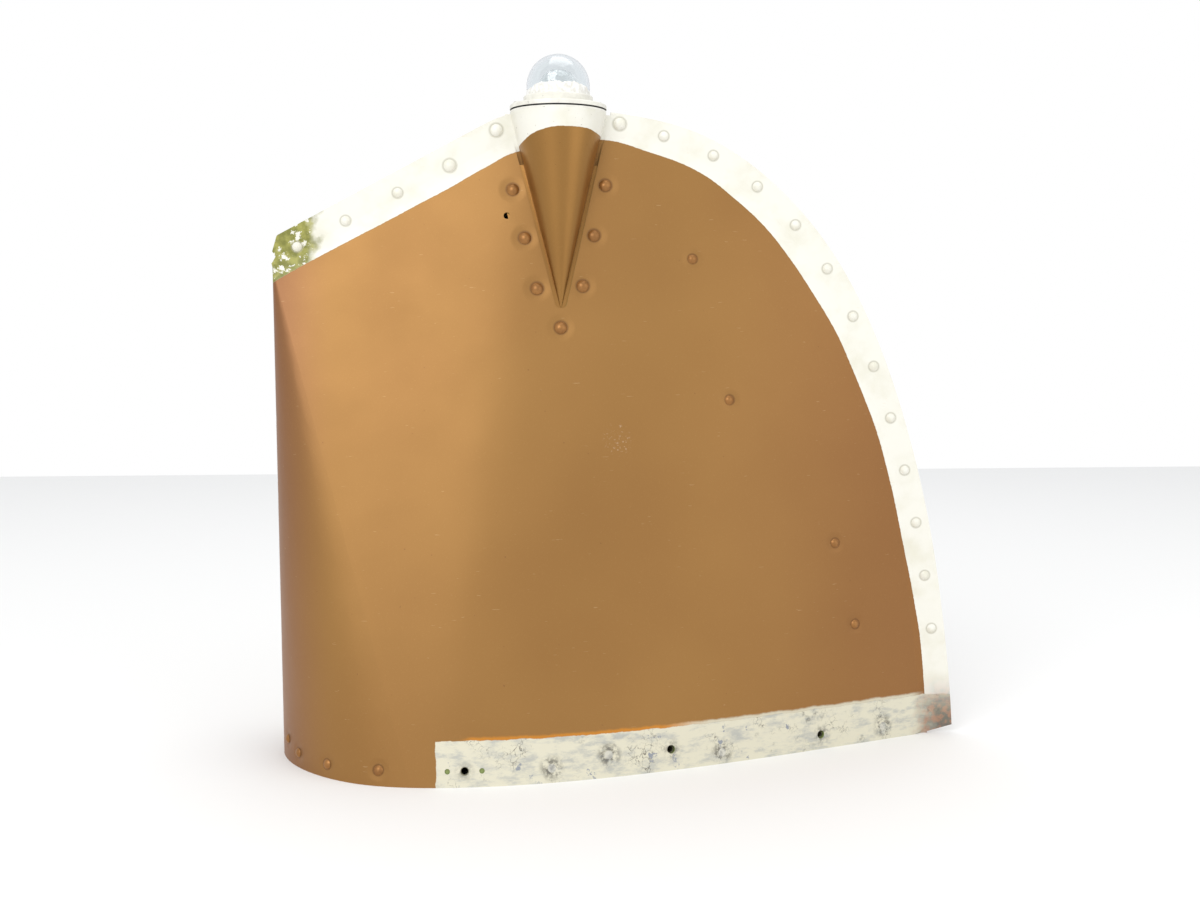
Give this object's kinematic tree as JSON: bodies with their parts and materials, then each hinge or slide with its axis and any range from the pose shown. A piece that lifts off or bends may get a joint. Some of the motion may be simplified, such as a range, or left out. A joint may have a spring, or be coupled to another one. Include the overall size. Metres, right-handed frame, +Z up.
{
  "type": "tailcone stinger",
  "caption": "Teardrop sheet metal tail fairing with a folded nose, a riveted curved seam and a clear position light on paired pods.",
  "frame": {"origin": "under the middle of the fairing's outer box, on the surface that its open forward edge stands on", "axes": "+X from the folded nose to the riveted tail seam, +Y across the fairing, +Z up towards the light"},
  "size_m": [0.3476, 0.143, 0.3465],
  "materials": {
    "bronze_paint": "satin metallic paint",
    "white_paint": "satin paint",
    "primed_sheet": "matt primer",
    "plated_steel": "dull plated",
    "bare_rivet": "weathered",
    "chipped_screw": "chipped satin paint",
    "gasket": "matt",
    "clear_glass": "clear",
    "bulb_glass": "clear",
    "brass": "tarnished",
    "fibre": "matt"
  },
  "bodies": {
    "root": {"folded_skin": "bronze_paint", "near_pod": "bronze_paint", "far_pod": "bronze_paint", "nose_former": "primed_sheet", "near_doubler": "primed_sheet", "far_doubler": "primed_sheet", "mid_spreader": "primed_sheet", "aft_spreader": "primed_sheet", "nut_plates": "plated_steel", "nut_rivets": "bare_rivet", "seam_rivets": "white_paint", "large_seam_rivets": "white_paint", "pod_rivets": "bronze_paint", "spreader_rivets": "bronze_paint", "nose_rivets": "bronze_paint", "flush_rivets": "bare_rivet", "light_bracket": "white_paint", "clinch_nuts": "plated_steel", "light_gasket": "gasket", "light_base": "white_paint", "light_screws": "chipped_screw", "lens_retainer": "white_paint", "clear_lens": "clear_glass", "bulb_glass": "bulb_glass", "bulb_base": "brass", "lamp_socket": "plated_steel", "socket_insulator": "fibre", "lamp_contact": "brass"}
  },
  "joints": []
}
